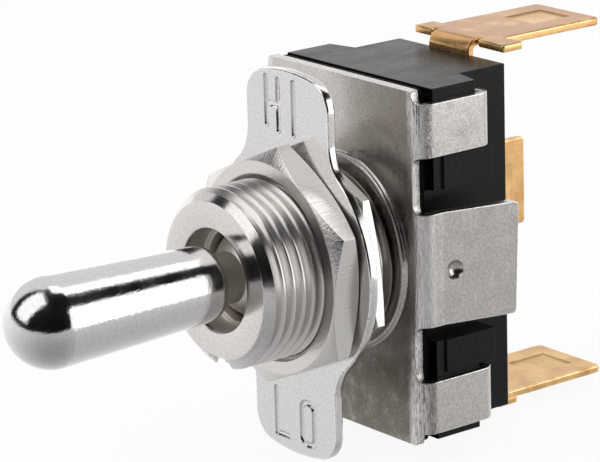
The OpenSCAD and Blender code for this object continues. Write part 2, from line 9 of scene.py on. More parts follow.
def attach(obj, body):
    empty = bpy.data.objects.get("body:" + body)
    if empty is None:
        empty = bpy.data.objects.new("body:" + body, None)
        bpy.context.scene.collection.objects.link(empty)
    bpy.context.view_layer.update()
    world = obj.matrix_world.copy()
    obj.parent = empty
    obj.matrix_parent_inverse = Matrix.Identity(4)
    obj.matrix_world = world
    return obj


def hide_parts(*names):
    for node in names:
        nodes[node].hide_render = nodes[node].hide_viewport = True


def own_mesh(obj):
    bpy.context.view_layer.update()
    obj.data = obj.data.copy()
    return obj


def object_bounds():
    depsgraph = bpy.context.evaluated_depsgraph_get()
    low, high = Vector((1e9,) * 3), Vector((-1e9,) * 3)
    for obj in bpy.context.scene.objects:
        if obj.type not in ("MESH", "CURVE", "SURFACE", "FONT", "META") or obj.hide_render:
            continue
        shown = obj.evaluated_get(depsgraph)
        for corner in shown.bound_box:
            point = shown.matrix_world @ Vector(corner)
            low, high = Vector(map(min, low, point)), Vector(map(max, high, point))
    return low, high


print("Loading the packed switch")
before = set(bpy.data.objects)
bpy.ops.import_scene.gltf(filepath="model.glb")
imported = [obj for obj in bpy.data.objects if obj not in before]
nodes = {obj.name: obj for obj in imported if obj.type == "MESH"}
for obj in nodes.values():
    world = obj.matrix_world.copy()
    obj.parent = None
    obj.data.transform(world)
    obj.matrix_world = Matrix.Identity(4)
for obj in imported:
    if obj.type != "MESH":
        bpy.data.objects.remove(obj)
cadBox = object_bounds()

mm = 0.001
over = 1  # mm that a cutting tool reaches past a surface
oneSpot = {"turned": 0.0005, "copied": 0.001, "carved": 0.002}  # mm within which two points are one
scene = bpy.context.scene


# Helpers for meshes

def newPiece(bm, name):
    mesh = bpy.data.meshes.new(name)
    bm.to_mesh(mesh)
    bm.free()
    piece = bpy.data.objects.new(name, mesh)
    scene.collection.objects.link(piece)
    return piece


def arc(centre, radius, start, end, steps):
    # points (radius from the axis, place along it) round a fillet, its angles in degrees
    # from outwards to backwards
    turns = [radians(start + (end - start) * k / steps) for k in range(steps + 1)]
    return [(centre[0] + radius * cos(t), centre[1] + radius * sin(t)) for t in turns]


def shift(bm, x, y, z, verts=None):
    # moves a mesh, or some of its points, in mm
    bmesh.ops.translate(bm, vec=(x * mm, y * mm, z * mm), verts=bm.verts if verts is None else verts)


def weld(bm, kind):
    bmesh.ops.remove_doubles(bm, verts=bm.verts, dist=oneSpot[kind] * mm)


def pick(made, kind):
    # the points or the edges among what an operator made
    return [g for g in made if isinstance(g, kind)]


def addProfile(bm, profile):
    # a chain of edges through points (radius, place along the switch) in mm
    verts = [bm.verts.new((r * mm, y * mm, 0)) for r, y in profile]
    return verts + [bm.edges.new(pair) for pair in zip(verts, verts[1:])]


def turnedMesh(profile, steps):
    # spins a profile about the bushing's axis
    bm = bmesh.new()
    bmesh.ops.spin(bm, geom=addProfile(bm, profile), cent=(0, 0, 0), axis=(0, 1, 0), angle=2 * pi,
                   steps=steps, use_merge=True)
    weld(bm, "turned")
    bmesh.ops.recalc_face_normals(bm, faces=bm.faces)
    return bm


def bevelEdges(bm, edges, width, segments, clamp=True):
    # rounds edges and marks the new faces, which get rubbed wear and a painted glint
    glintAndWear = bm.faces.layers.float["glintAndWearFaces"]
    made = bmesh.ops.bevel(bm, geom=edges, offset=width * mm, offset_type="OFFSET", affect="EDGES",
                           segments=segments, profile=0.5, material=-1, clamp_overlap=clamp)["faces"]
    for face in made:
        face[glintAndWear] = 1


def blockMesh(corner, opposite, edgeWidth=0):
    # a block between two corners in mm, its edges rounded where a width is given
    low, high = zip(*[sorted(pair) for pair in zip(corner, opposite)])
    bm = bmesh.new()
    bmesh.ops.create_cube(bm, size=1)
    bmesh.ops.scale(bm, vec=[(b - a) * mm for a, b in zip(low, high)], verts=bm.verts)
    shift(bm, *[(a + b) / 2 for a, b in zip(low, high)])
    if edgeWidth:
        bm.faces.layers.float.new("glintAndWearFaces")
        bevelEdges(bm, bm.edges[:], edgeWidth, 3)
    return bm


def plateMesh(outline, low, high, edgeWidth=0):
    # an outline of (x, z) in mm as a plate from y = low back to y = high, its rims rounded
    bm = bmesh.new()
    face = bm.faces.new([bm.verts.new((x * mm, low * mm, z * mm)) for x, z in outline])
    top = bmesh.ops.extrude_face_region(bm, geom=[face])["geom"]
    shift(bm, 0, high - low, 0, pick(top, BMVert))
    bmesh.ops.recalc_face_normals(bm, faces=bm.faces)
    if edgeWidth:
        bm.faces.layers.float.new("glintAndWearFaces")
        level = oneSpot["turned"] * mm
        rims = [e for e in bm.edges if abs(e.verts[0].co.y - e.verts[1].co.y) < level]
        bevelEdges(bm, rims, edgeWidth, 3)
    return bm


def barMesh(radius, low, high, axis, steps=48):
    # a round bar along axis "X" or "Y", from low to high in mm
    bm = bmesh.new()
    bmesh.ops.create_cone(bm, cap_ends=True, segments=steps, radius1=radius * mm, radius2=radius * mm,
                          depth=(high - low) * mm)
    shift(bm, 0, 0, (low + high) / 2)
    angle, about = (pi / 2, "Y") if axis == "X" else (-pi / 2, "X")
    bmesh.ops.rotate(bm, matrix=Matrix.Rotation(angle, 3, about), verts=bm.verts)
    return bm


def applyModifiers(piece):
    graph = bpy.context.evaluated_depsgraph_get()
    finished = bpy.data.meshes.new_from_object(piece.evaluated_get(graph))
    old = piece.data
    piece.modifiers.clear()
    piece.data = finished
    bpy.data.meshes.remove(old)


def carve(piece, toolMesh, operation="DIFFERENCE"):
    tool = newPiece(toolMesh, "carvingTool")
    step = piece.modifiers.new("carve", "BOOLEAN")
    step.operation = operation
    step.solver = "EXACT"
    step.object = tool
    applyModifiers(piece)
    bpy.data.objects.remove(tool)


def mergeFacets(bm):
    # makes one face of the facets that lie in one plane
    bmesh.ops.dissolve_limit(bm, angle_limit=radians(0.5), verts=bm.verts, edges=bm.edges)


def roundEdges(piece, edgeRound):
    # bevels every edge sharper than the angle
    bm = bmesh.new()
    bm.from_mesh(piece.data)
    weld(bm, "carved")
    mergeFacets(bm)
    bm.faces.layers.float.new("glintAndWearFaces")
    least = radians(edgeRound["angle"])
    sharp = [e for e in bm.edges if len(e.link_faces) == 2 and e.calc_face_angle() > least]
    bevelEdges(bm, sharp, edgeRound["width"], edgeRound["segments"], edgeRound["clamp"])
    bm.to_mesh(piece.data)
    bm.free()


def smoothShade(piece, sharpAngle):
    piece.data.shade_smooth()
    piece.data.set_sharp_from_angle(angle=radians(sharpAngle))
    weighted = piece.modifiers.new("evenNormals", "WEIGHTED_NORMAL")
    weighted.keep_sharp = True


def copyOfNode(node, name):
    bm = bmesh.new()
    bm.from_mesh(nodes[node].data)
    weld(bm, "copied")
    return newPiece(bm, name)


def finishPiece(piece, material, body, node):
    piece.data.materials.clear()
    piece.data.materials.append(material)
    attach(piece, body)
    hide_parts(node)


# Camera and light

print("Camera at the photograph's angle")
photoCamera = {
    "place": (163.98, -130.62, 61.46),  # mm from the bracket's face on the bushing's axis
    "azimuth": 52.207,                  # degrees that it looks round from +Y towards -X
    "downward": 16.012,
    "roll": -1.699,
    "lens": 197.86,
    "sensor": 36,
    "clip": (0.01, 20),                 # metres
}


def aimedMatrix(place, azimuth, downward, roll):
    a, d, r = radians(azimuth), radians(downward), radians(roll)
    ahead = Vector((-sin(a) * cos(d), cos(a) * cos(d), -sin(d)))
    level = ahead.cross(Vector((0, 0, 1))).normalized()
    upright = level.cross(ahead)
    right = level * cos(r) + upright * sin(r)
    up = right.cross(ahead)
    matrix = Matrix((right, up, -ahead)).transposed().to_4x4()
    matrix.translation = Vector(place) * mm
    return matrix


cameraData = bpy.data.cameras.new("photoCamera")
cameraData.sensor_width = photoCamera["sensor"]
cameraData.lens = photoCamera["lens"]
cameraData.clip_start, cameraData.clip_end = photoCamera["clip"]
camera = bpy.data.objects.new("photoCamera", cameraData)
camera.matrix_world = aimedMatrix(photoCamera["place"], photoCamera["azimuth"], photoCamera["downward"],
                                  photoCamera["roll"])
scene.collection.objects.link(camera)
scene.camera = camera
scene.view_settings.view_transform = "Standard"

print("Studio light")
studio = {
    "floorColour": (0.93, 0.93, 0.93),
    "floorForCamera": 0.92,   # share of plain white that the camera sees in the floor
    "backdrop": 1.0,          # what the camera sees behind the switch
    "fill": 0.6,              # what dull surfaces get from all sides
    "skyShine": 0.83,         # what metal mirrors in the pale tent behind and above
    "roomShine": 0.005,       # and in the dark room that the tent opens to
    "roomSide": (0.75, -0.25, 0.61),
    "roomEdge": (0.34, 0.48),
    "doorSide": (0.454, -0.881, 0.136),
    "doorEdge": (0.03, 0.08),
    "tableLine": (0.165, -0.129, 1.0),
    "tableEdge": (0.01, 0.06),
    "tableShine": 0.93,
    "tableFall": (-0.27, 0.13, 0.5),  # the table gets darker towards the camera and below the switch
    # each softbox: place and aim in mm, roll in degrees, width and height in mm, brightness
    "softboxes": {
        "rightBox": ((348, 249, 98), (3, -23, 1), -11, (300, 350), 1.5),
        "leftBox": ((-79, -335, 316), (1, -25, 2), -14, (345, 600), 1.3),
        "overheadBox": ((13, 225, 402), (13, 225, 0), -18.5, (144, 400), 1.5),
    },
}


def addSoftbox(name, place, aim, roll, size, brightness):
    data = bpy.data.lights.new(name, "AREA")
    data.shape = "RECTANGLE"
    data.size = size[0] * mm
    data.size_y = size[1] * mm
    data.energy = brightness * pi * data.size * data.size_y
    lamp = bpy.data.objects.new(name, data)
    ahead = Vector(aim) - Vector(place)
    turn = ahead.to_track_quat("-Z", "Y").to_matrix() @ Matrix.Rotation(radians(roll), 3, "Z")
    lamp.matrix_world = Matrix.Translation(Vector(place) * mm) @ turn.to_4x4()
    scene.collection.objects.link(lamp)


for boxName, facts in studio["softboxes"].items():
    addSoftbox(boxName, *facts)


def addMath(tree, operation, a, b=None):
    node = tree.nodes.new("ShaderNodeMath")
    node.operation = operation
    for socket, value in zip(node.inputs, (a, b)):
        if isinstance(value, (int, float)):
            socket.default_value = value
        elif value is not None:
            tree.links.new(value, socket)
    return node.outputs[0]


def times(tree, a, b):
    # scales a value, or finds where two masks meet
    return addMath(tree, "MULTIPLY", a, b)


def mix(tree, factor, a, b, kind="FLOAT"):
    # a where the factor is 0 and b where it is 1, each a plain value or a socket
    node = tree.nodes.new("ShaderNodeMix")
    node.data_type = kind
    tree.links.new(factor, node.inputs["Factor"])
    for label, value in (("A", a), ("B", b)):
        if isinstance(value, bpy.types.NodeSocket):
            tree.links.new(value, node.inputs[label])
        else:
            node.inputs[label].default_value = value
    return node.outputs["Result"]


def mapRange(tree, source, spread, low=0, high=1, kind="LINEAR"):
    # maps the values of a spread onto those from low to high
    node = tree.nodes.new("ShaderNodeMapRange")
    node.interpolation_type = kind
    tree.links.new(source, node.inputs["Value"])
    labels = ("From Min", "From Max", "To Min", "To Max")
    for label, value in zip(labels, (*spread, low, high)):
        node.inputs[label].default_value = value
    return node.outputs["Result"]


def softStep(tree, value, low, high):
    return mapRange(tree, value, (low, high), kind="SMOOTHSTEP")


def alongAxis(tree, direction, axis):
    node = tree.nodes.new("ShaderNodeVectorMath")
    node.operation = "DOT_PRODUCT"
    tree.links.new(direction, node.inputs[0])
    node.inputs[1].default_value = axis
    return node.outputs["Value"]


def buildSky():
    # white for the camera, even light for dull surfaces, and for metal a pale tent over a table,
    # open to a dark room
    world = bpy.data.worlds.new("studioSky")
    world.use_nodes = True
    scene.world = world
    tree = world.node_tree
    direction = tree.nodes.new("ShaderNodeTexCoord").outputs["Generated"]
    room = softStep(tree, alongAxis(tree, direction, studio["roomSide"]), *studio["roomEdge"])
    door = softStep(tree, alongAxis(tree, direction, studio["doorSide"]), *studio["doorEdge"])
    upper = mix(tree, addMath(tree, "MAXIMUM", room, door), studio["skyShine"], studio["roomShine"])
    table = addMath(tree, "ADD", alongAxis(tree, direction, studio["tableFall"]), studio["tableShine"])
    horizon = softStep(tree, alongAxis(tree, direction, studio["tableLine"]), *studio["tableEdge"])
    shine = mix(tree, horizon, table, upper)
    lightPath = tree.nodes.new("ShaderNodeLightPath")
    level = mix(tree, lightPath.outputs["Is Glossy Ray"], studio["fill"], shine)
    level = mix(tree, lightPath.outputs["Is Camera Ray"], level, studio["backdrop"])
    tree.links.new(level, tree.nodes["Background"].inputs["Strength"])
    tree.nodes["Background"].inputs["Color"].default_value = (1, 1, 1, 1)


buildSky()


# Effects that several materials share

patternShape = {
    "cloudShare": 0.6,              # of the plating's relief, the rest is its grain
    "mouldDraw": (1.0, 0.45, 1.0),  # draws the moulding's streaks out along the switch
}


def newGroup(name, inputs, outputs):
    group = bpy.data.node_groups.new(name, "ShaderNodeTree")
    for label, value, low, high in inputs:
        socket = group.interface.new_socket(label, in_out="INPUT", socket_type="NodeSocketFloat")
        socket.default_value, socket.min_value, socket.max_value = value, low, high
    for label in outputs:
        group.interface.new_socket(label, in_out="OUTPUT", socket_type="NodeSocketFloat")
    enter = group.nodes.new("NodeGroupInput")
    leave = group.nodes.new("NodeGroupOutput")
    return group, enter, leave


def putOut(group, leave, **values):
    for label, value in values.items():
        group.links.new(value, leave.inputs[label])


def placeInMm(tree):
    coordinate = tree.nodes.new("ShaderNodeTexCoord")
    scaled = tree.nodes.new("ShaderNodeVectorMath")
    scaled.operation = "SCALE"
    scaled.inputs["Scale"].default_value = 1 / mm
    tree.links.new(coordinate.outputs["Object"], scaled.inputs[0])
    return scaled.outputs["Vector"]


def splitAxes(tree, vector):
    node = tree.nodes.new("ShaderNodeSeparateXYZ")
    tree.links.new(vector, node.inputs[0])
    return node.outputs


def joinAxes(tree, **values):
    node = tree.nodes.new("ShaderNodeCombineXYZ")
    for axis, value in values.items():
        tree.links.new(value, node.inputs[axis])
    return node.outputs[0]


def stretch(tree, vector, scales):
    # scales a place axis by axis, by plain numbers or by a socket
    node = tree.nodes.new("ShaderNodeVectorMath")
    node.operation = "MULTIPLY"
    tree.links.new(vector, node.inputs[0])
    if isinstance(scales, tuple):
        node.inputs[1].default_value = scales
    else:
        tree.links.new(scales, node.inputs[1])
    return node.outputs["Vector"]


def addNoise(tree, vector, scale, detail=3.0, roughness=0.55):
    node = tree.nodes.new("ShaderNodeTexNoise")
    tree.links.new(vector, node.inputs["Vector"])
    if isinstance(scale, (int, float)):
        node.inputs["Scale"].default_value = scale
    else:
        tree.links.new(scale, node.inputs["Scale"])
    node.inputs["Detail"].default_value = detail
    node.inputs["Roughness"].default_value = roughness
    return node.outputs["Fac"]


def buildMottleGroup():
    # the cloudy, faintly pitted skin of barrel-plated nickel
    group, enter, leave = newGroup("platingMottle",
                                   [("Cloud Scale", 1.0, 0, 100), ("Grain Scale", 9.0, 0, 1000)],
                                   ["Cloud", "Grain", "Height"])
    place = placeInMm(group)
    cloud = addNoise(group, place, enter.outputs["Cloud Scale"])
    grain = addNoise(group, place, enter.outputs["Grain Scale"], detail=2, roughness=0.6)
    share = patternShape["cloudShare"]
    height = addMath(group, "ADD", times(group, cloud, share), times(group, grain, 1 - share))
    putOut(group, leave, Cloud=cloud, Grain=grain, Height=height)
    return group


def buildLatheGroup():
    # fine rings that a turning tool leaves, on end faces and round sides alike,
    # and how far a place is from the axis and along it in mm
    group, enter, leave = newGroup("latheRings", [("Rings Per Mm", 8.0, 0, 100)],
                                   ["Height", "Radius", "Along"])
    place = splitAxes(group, placeInMm(group))
    x, along, z = place["X"], place["Y"], place["Z"]
    radius = addMath(group, "SQRT", addMath(group, "ADD", times(group, x, x), times(group, z, z)))
    rings = addNoise(group, joinAxes(group, X=radius, Y=along), enter.outputs["Rings Per Mm"], detail=2)
    putOut(group, leave, Height=rings, Radius=radius, Along=along)
    return group


def buildGrainGroup():
    # pressed or moulded powder: fine speckle, with drawn-out streaks along the switch
    group, enter, leave = newGroup("mouldedGrain",
                                   [("Speckle Scale", 12.0, 0, 1000), ("Streak Scale", 3.0, 0, 1000)],
                                   ["Speckle", "Streak"])
    place = placeInMm(group)
    speckle = addNoise(group, place, enter.outputs["Speckle Scale"], detail=2, roughness=0.6)
    drawn = stretch(group, place, patternShape["mouldDraw"])
    streak = addNoise(group, drawn, enter.outputs["Streak Scale"], roughness=0.6)
    putOut(group, leave, Speckle=speckle, Streak=streak)
    return group


def buildStreakGroup():
    # metal drawn or milled in one direction: noise stretched along it, and the place on the piece
    # in mm: to either side, along the switch and up
    group, enter, leave = newGroup("drawnStreaks", [(axis + " Scale", 7.0, 0, 100) for axis in "XYZ"],
                                   ["Height", "Side", "Along", "Up"])
    place = placeInMm(group)
    scales = joinAxes(group, **{axis: enter.outputs[axis + " Scale"] for axis in "XYZ"})
    height = addNoise(group, stretch(group, place, scales), 1.0, detail=2, roughness=0.6)
    parts = splitAxes(group, place)
    side = addMath(group, "ABSOLUTE", parts["X"])
    putOut(group, leave, Height=height, Side=side, Along=parts["Y"], Up=parts["Z"])
    return group


print("Shared effects")
mottleGroup = buildMottleGroup()
streakGroup = buildStreakGroup()
latheGroup = buildLatheGroup()
grainGroup = buildGrainGroup()


# Materials

finishes = {
    # dark and pale colour, smooth and dull roughness, scale of the clouds and of the grain,
    # or of the speckle and the streaks, and depth of the relief in mm
    "bracketNickel": ((0.53, 0.50, 0.475), (0.67, 0.645, 0.62), 0.15, 0.30, 0.7, 6.5, 0.009),
    "plateNickel": ((0.66, 0.65, 0.64), (0.77, 0.75, 0.74), 0.12, 0.19, 0.9, 7, 0.004),
    "nutNickel": ((0.73, 0.71, 0.68), (0.83, 0.81, 0.78), 0.12, 0.2, 1.0, 8, 0.003),
    "bushingNickel": ((0.66, 0.64, 0.62), (0.76, 0.74, 0.72), 0.12, 0.19, 1.0, 8, 0.003),
    "leverChrome": ((0.71, 0.695, 0.685), (0.78, 0.765, 0.755), 0.09, 0.17, 0.8, 5, 0.02),
    "bladeBrass": ((0.70, 0.38, 0.165), (0.90, 0.60, 0.26), 0.24, 0.36, 0.6, 7, 0.006),
    "rivetBrass": ((0.72, 0.52, 0.26), (0.84, 0.62, 0.34), 0.22, 0.34, 1.5, 12, 0.004),
    "pinSteel": ((0.50, 0.50, 0.50), (0.62, 0.61, 0.60), 0.22, 0.34, 1.5, 14, 0.003),
    "contactSilver": ((0.78, 0.77, 0.74), (0.86, 0.85, 0.82), 0.2, 0.32, 2, 14, 0.003),
    "barCopper": ((0.66, 0.34, 0.2), (0.78, 0.42, 0.26), 0.24, 0.36, 1.5, 12, 0.003),
    "housingPhenolic": ((0.003, 0.005, 0.0055), (0.009, 0.012, 0.0125), 0.24, 0.34, 5, 0.9, 0.006),
    # the liner is painted near-black, as painted shade for the dark gap that it sits in
    "linerInPaintedShade": ((0.0005, 0.0005, 0.0006), (0.002, 0.002, 0.0025), 0.5, 0.7, 4, 3, 0.03),
    "plungerNylon": ((0.68, 0.65, 0.54), (0.76, 0.73, 0.62), 0.3, 0.45, 8, 3, 0.003),
}
mouldedGloss = {"housingPhenolic": 0.16, "linerInPaintedShade": 0.05, "plungerNylon": 0.5}
evenSpread = (0.3, 0.7)       # the part of a pattern's values that a finish uses
sharpSpread = (0.38, 0.62)    # gives nickel more contrast


def shaderOf(material):
    return material.node_tree, material.node_tree.nodes["Principled BSDF"]


def useGroup(tree, group, *scales):
    # scales in the order of the group's inputs
    node = tree.nodes.new("ShaderNodeGroup")
    node.node_tree = group
    for socket, scale in zip(node.inputs, scales):
        socket.default_value = scale
    return node.outputs


def addBump(tree, shader, height, depth):
    # relief with a depth in mm, on top of what the shader has already
    bump = tree.nodes.new("ShaderNodeBump")
    bump.inputs["Strength"].default_value = 1.0
    bump.inputs["Distance"].default_value = depth * mm
    tree.links.new(height, bump.inputs["Height"])
    previous = shader.inputs["Normal"].links
    if previous:
        tree.links.new(previous[0].from_socket, bump.inputs["Normal"])
    tree.links.new(bump.outputs["Normal"], shader.inputs["Normal"])
    return bump


def startMaterial(name, metallic, group, colourBy, roughnessBy, reliefBy, spread=evenSpread):
    # colour, roughness and relief each follow one of the group's patterns
    dark, pale, smooth, dull, *scales, depth = finishes[name]
    material = bpy.data.materials.new(name)
    material.use_nodes = True
    tree, shader = shaderOf(material)
    base, rough = shader.inputs["Base Color"], shader.inputs["Roughness"]
    base.default_value = (*pale, 1)
    rough.default_value = dull
    shader.inputs["Metallic"].default_value = metallic
    patterns = useGroup(tree, group, *scales)
    share = mapRange(tree, patterns[colourBy], spread)
    tree.links.new(mix(tree, share, (*dark, 1), (*pale, 1), "RGBA"), base)
    tree.links.new(mapRange(tree, patterns[roughnessBy], evenSpread, smooth, dull), rough)
    addBump(tree, shader, patterns[reliefBy], depth)
    return material, tree, shader, patterns


def changePart(tree, shader, mask, colour, roughness):
    # gives the surface another colour and roughness where the mask is 1
    for label, value, kind in (("Base Color", (*colour, 1), "RGBA"), ("Roughness", roughness, "FLOAT")):
        socket = shader.inputs[label]
        tree.links.new(mix(tree, mask, socket.links[0].from_socket, value, kind), socket)


# rubbed wear and a painted glint on rounded edges
edgeGlintAndRubbing = {
    "broken": (0.38, 0.5),     # the part of a cloud pattern over which the bright line fades
    "least": 0.15,             # what stays of it there
    "roughness": 0.16,
    "nickelScale": 3.5,
    "nickel": (0.98, 0.97, 0.95),
    "brass": (1.0, 0.74, 0.36),
}


def paintGlintOnRubbedEdges(tree, shader, clouds, colour):
    # rounded edges are rubbed and get a painted glint, a near-white line, broken
    glintAndWear = tree.nodes.new("ShaderNodeAttribute")
    glintAndWear.attribute_name = "glintAndWearFaces"
    broken = mapRange(tree, clouds, edgeGlintAndRubbing["broken"], edgeGlintAndRubbing["least"])
    changePart(tree, shader, times(tree, glintAndWear.outputs["Fac"], broken), colour, edgeGlintAndRubbing["roughness"])


turnedMarks = {
    # ring depth in mm and rings per mm of the turning tool
    "rings": {"nutNickel": 0.0006, "bushingNickel": 0.0008},
    "ringScale": 9,
    # limits of each place, as distance from the axis and place along the switch in mm,
    # with the colour and the roughness there
    "hole": ((3.52, 3.48), (-10.45, -10.15)),
    "neck": (-11.3, -11.0),
    "unpolished": ((0.77, 0.735, 0.69), 0.42),
    "thread": ((5.2, 5.4), (-10.2, -9.8)),
    "threadDull": ((0.72, 0.70, 0.675), 0.27),
    "behindNut": (-1.7, -1.3),
    "inShade": ((0.36, 0.345, 0.325), 0.2),
}


def makeNickel(name):
    m = turnedMarks
    material, tree, shader, _ = startMaterial(name, 1, mottleGroup, "Grain", "Cloud", "Height", sharpSpread)
    clouds = useGroup(tree, mottleGroup, edgeGlintAndRubbing["nickelScale"])["Cloud"]
    paintGlintOnRubbedEdges(tree, shader, clouds, edgeGlintAndRubbing["nickel"])
    if name in m["rings"]:
        turned = useGroup(tree, latheGroup, m["ringScale"])
        addBump(tree, shader, turned["Height"], m["rings"][name])
        for place, look in (("hole", "unpolished"), ("thread", "threadDull")):
            across, along = m[place]
            mask = times(tree, softStep(tree, turned["Radius"], *across),
                         softStep(tree, turned["Along"], *along))
            changePart(tree, shader, mask, *m[look])
        changePart(tree, shader, softStep(tree, turned["Along"], *m["behindNut"]), *m["inShade"])
    return material


pressMarks = {
    # streaks on the folds: scale along each axis and depth in mm, where they start at the side
    # and end backwards, colour and roughness between the lines, a painted highlight, and in the lines
    "foldScale": (10, 10, 1.5),
    "foldDepth": 0.035,
    "foldSide": (6.8, 7.1),
    "foldBack": (1.3, 0.9),
    "foldPaintedHighlight": ((0.78, 0.76, 0.74), 0.2),
    "foldLines": (0.6, 0.34),
    "foldDark": ((0.36, 0.345, 0.32), 0.25),
    "lineShare": 0.35,          # of the lines' strength on the upper folds, against the lower one
    "lowerFold": (-3, -5),
    # painted shade: the corner folds are darkened on their rear half, in patches, for the dark room that they
    # mirror
    "shadeBack": (0.3, 0.7),
    "shadeUp": (3.6, 4.4),
    "shadeScales": (1.6, 7),
    "shadePatches": (0.25, 0.6),
    "shade": ((0.30, 0.285, 0.265), 0.25),
    # the front sheet is darker and browner below the boss: limits to the side, along and up, and spots
    "brownSide": (7.0, 6.5),
    "brownBack": (0.2, 0.05),
    "brownUp": (-3.5, -7.5),
    "brownScales": (0.9, 6),
    "brownSpots": (-0.12, 0.3),
    "brown": ((0.19, 0.175, 0.15), 0.3),
    # milled flats of the nuts
    "flatScale": (7, 0.7, 7),
    "flatDepth": 0.02,
}


def addStreaks(tree, shader, scale, depth):
    streaks = useGroup(tree, streakGroup, *scale)
    return streaks, addBump(tree, shader, streaks["Height"], depth)


def makeBracketNickel():
    m = pressMarks
    material = makeNickel("bracketNickel")
    tree, shader = shaderOf(material)
    streaks, bump = addStreaks(tree, shader, m["foldScale"], m["foldDepth"])
    side, along, up = streaks["Side"], streaks["Along"], streaks["Up"]
    onFold = times(tree, softStep(tree, side, *m["foldSide"]), softStep(tree, along, *m["foldBack"]))
    tree.links.new(onFold, bump.inputs["Strength"])
    # painted highlight: the folds are paler between the streak lines
    changePart(tree, shader, onFold, *m["foldPaintedHighlight"])
    lines = times(tree, onFold, softStep(tree, streaks["Height"], *m["foldLines"]))
    share = mix(tree, softStep(tree, up, *m["lowerFold"]), m["lineShare"], 1)
    changePart(tree, shader, times(tree, lines, share), *m["foldDark"])
    # painted shade on the corner folds' rear half, in patches, for the dark room mirrored there
    rear = times(tree, onFold, softStep(tree, along, *m["shadeBack"]))
    corner = times(tree, rear, softStep(tree, addMath(tree, "ABSOLUTE", up), *m["shadeUp"]))
    patches = softStep(tree, useGroup(tree, mottleGroup, *m["shadeScales"])["Grain"], *m["shadePatches"])
    changePart(tree, shader, times(tree, corner, patches), *m["shade"])
    front = times(tree, softStep(tree, side, *m["brownSide"]), softStep(tree, along, *m["brownBack"]))
    below = times(tree, front, softStep(tree, up, *m["brownUp"]))
    mottle = useGroup(tree, mottleGroup, *m["brownScales"])
    spots = softStep(tree, times(tree, mottle["Grain"], mottle["Cloud"]), *m["brownSpots"])
    changePart(tree, shader, times(tree, below, spots), *m["brown"])
    return material


def makeChrome():
    material, tree, shader, _ = startMaterial("leverChrome", 1, mottleGroup, "Grain", "Cloud", "Height")
    neck = softStep(tree, useGroup(tree, latheGroup)["Along"], *turnedMarks["neck"])
    changePart(tree, shader, neck, *turnedMarks["unpolished"])
    return material


def makeMetal(name):
    return startMaterial(name, 1, mottleGroup, "Cloud", "Grain", "Height")[0]


def makeMoulded(name):
    material, tree, shader, _ = startMaterial(name, 0, grainGroup, "Speckle", "Streak", "Speckle")
    shader.inputs["Specular IOR Level"].default_value = mouldedGloss[name]
    return material


gapInShade = {"end": (1.8, 1.7), "look": ((0.0005, 0.0005, 0.0005), 1.0)}


def makePhenolic():
    # painted shade: what lies between the bracket and the body's sides is painted near-black, for the dark
    # there
    material = makeMoulded("housingPhenolic")
    tree, shader = shaderOf(material)
    gap = softStep(tree, useGroup(tree, streakGroup)["Along"], *gapInShade["end"])
    changePart(tree, shader, gap, *gapInShade["look"])
    return material


# tarnish, and painted shade where the upper flat mirrors a darker zone
upperFlatTarnishAndShade = {
    "height": (12.86, 12.92),   # only the upper blade's flat is up here
    "cloudScale": 0.5,
    "clouds": (0.2, 0.55),
    "look": ((0.53, 0.265, 0.095), 0.28),
}


def makeBladeBrass():
    # with rubbed edges that get a painted glint, and the upper blade's flat redder with tarnish and darker as
    # painted shade
    t = upperFlatTarnishAndShade
    material, tree, shader, patterns = startMaterial("bladeBrass", 1, mottleGroup, "Cloud", "Grain", "Height")
    paintGlintOnRubbedEdges(tree, shader, patterns["Cloud"], edgeGlintAndRubbing["brass"])
    flat = softStep(tree, useGroup(tree, streakGroup)["Up"], *t["height"])
    clouds = softStep(tree, useGroup(tree, mottleGroup, t["cloudScale"])["Cloud"], *t["clouds"])
    changePart(tree, shader, times(tree, flat, clouds), *t["look"])
    return material


print("Materials")
bracketNickel = makeBracketNickel()
plateNickel = makeNickel("plateNickel")
nutNickel = makeNickel("nutNickel")
addStreaks(*shaderOf(nutNickel), pressMarks["flatScale"], pressMarks["flatDepth"])
bushingNickel = makeNickel("bushingNickel")
leverChrome = makeChrome()
housingPhenolic = makePhenolic()
# painted shade: the liner is near-black for the dark gap that it sits in
linerInPaintedShade = makeMoulded("linerInPaintedShade")
bladeBrass = makeBladeBrass()
rivetBrass = makeMetal("rivetBrass")
pinSteel = makeMetal("pinSteel")
contactSilver = makeMetal("contactSilver")
barCopper = makeMetal("barCopper")
plungerNylon = makeMoulded("plungerNylon")


# Lever

print("Lever")
leverShape = {
    "mouth": -10.6,        # the bushing's front face
    "length": 15.66,
    "tipRadius": 3.0,
    "waistRadius": 2.53,
    "neckRadius": 1.7,
    "neckStart": 0.3,      # in front of the mouth
    "ballRadius": 3.3,
    "pivot": -6.5,
    "pinHoleRadius": 1.04,
    "tailRadius": 1.9,
    "tailEnd": 2.2,
    "tailRound": 0.2,
    "boreRadius": 1.2,
    "boreEnd": -3.4,
    "boreRound": 0.1,
    "steps": 128,
}


def makeLever():
    s = leverShape
    neck, ball, tail, bore = s["neckRadius"], s["ballRadius"], s["tailRadius"], s["boreRadius"]
    fillet, tailRound, boreRound = s["waistRadius"] - neck, s["tailRound"], s["boreRound"]
    profile = arc((0, s["mouth"] - s["length"] + s["tipRadius"]), s["tipRadius"], -90, -2, 40)
    profile += arc((neck, s["mouth"] - s["neckStart"] - fillet), fillet, 0, 90, 16)
    profile += arc((0, s["pivot"]), ball, -degrees(acos(neck / ball)), degrees(acos(tail / ball)), 40)
    profile += arc((tail - tailRound, s["tailEnd"] - tailRound), tailRound, 0, 90, 5)
    profile += arc((bore + boreRound, s["tailEnd"] - boreRound), boreRound, 90, 180, 3)
    profile += [(bore, s["boreEnd"]), (0, s["boreEnd"])]
    piece = newPiece(turnedMesh(profile, s["steps"]), "batLever")
    hole = barMesh(s["pinHoleRadius"], -ball - over, ball + over, "X")
    shift(hole, 0, s["pivot"], 0)
    carve(piece, hole)
    smoothShade(piece, 35)
    return piece


finishPiece(makeLever(), leverChrome, "lever", "lever")


# Threaded bushing

